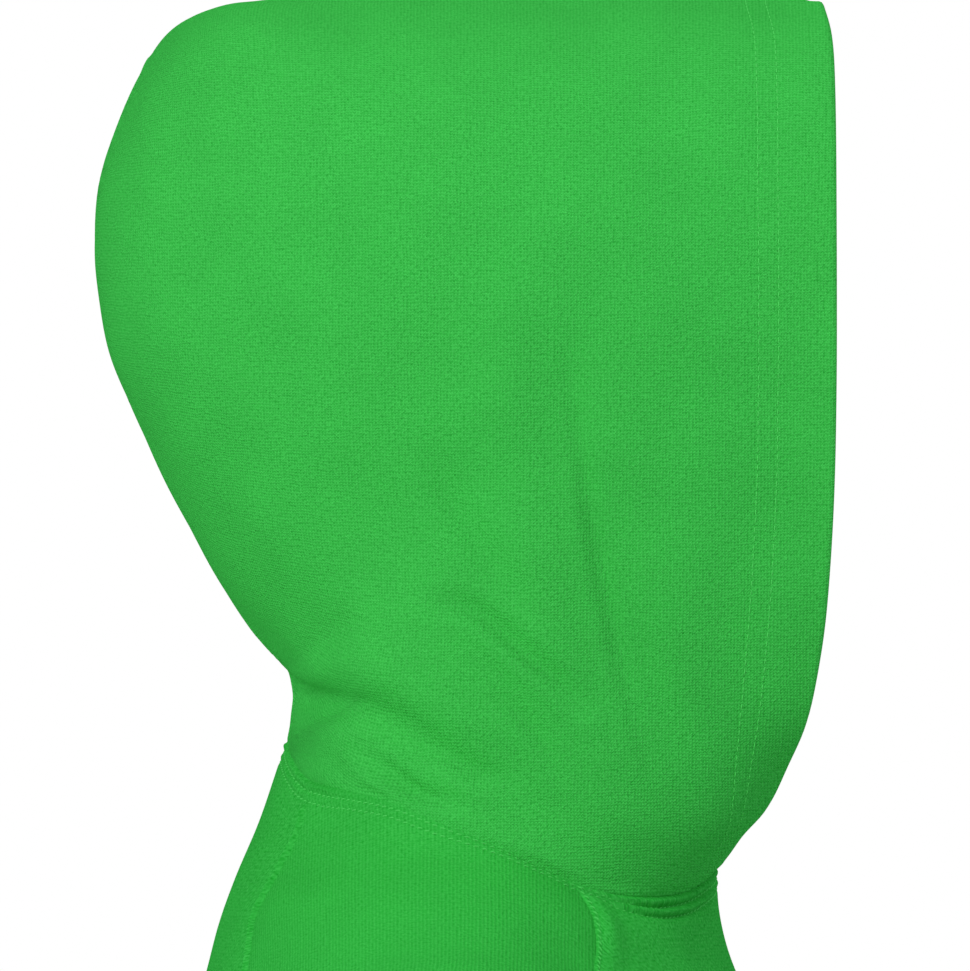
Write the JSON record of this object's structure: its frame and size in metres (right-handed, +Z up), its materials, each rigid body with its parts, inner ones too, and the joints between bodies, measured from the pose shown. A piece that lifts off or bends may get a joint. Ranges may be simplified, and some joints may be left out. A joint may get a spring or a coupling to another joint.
{
  "type": "pullover hoodie",
  "caption": "Raglan-sleeve pullover hoodie in sweatshirt knit, hood up, filled out as worn and hollow, with rib cuffs and waistband.",
  "frame": {"origin": "middle of the neck opening, level with the neck seam at the wearer's sides", "axes": "+Z up; the wearer faces -Y, so the hood opens towards -Y; +X is the wearer's left"},
  "size_m": [0.8376, 0.2598, 0.9552],
  "materials": {
    "sweatshirt_knit": "matte knit, bright green",
    "rib_knit": "matte rib knit, bright green"
  },
  "bodies": {
    "root": {"back": "sweatshirt_knit", "front": "sweatshirt_knit", "sleeve_right": "sweatshirt_knit", "sleeve_left": "sweatshirt_knit", "hood_right": "sweatshirt_knit", "hood_left": "sweatshirt_knit", "waistband": "rib_knit", "cuff_right": "rib_knit", "cuff_left": "rib_knit"}
  },
  "joints": []
}
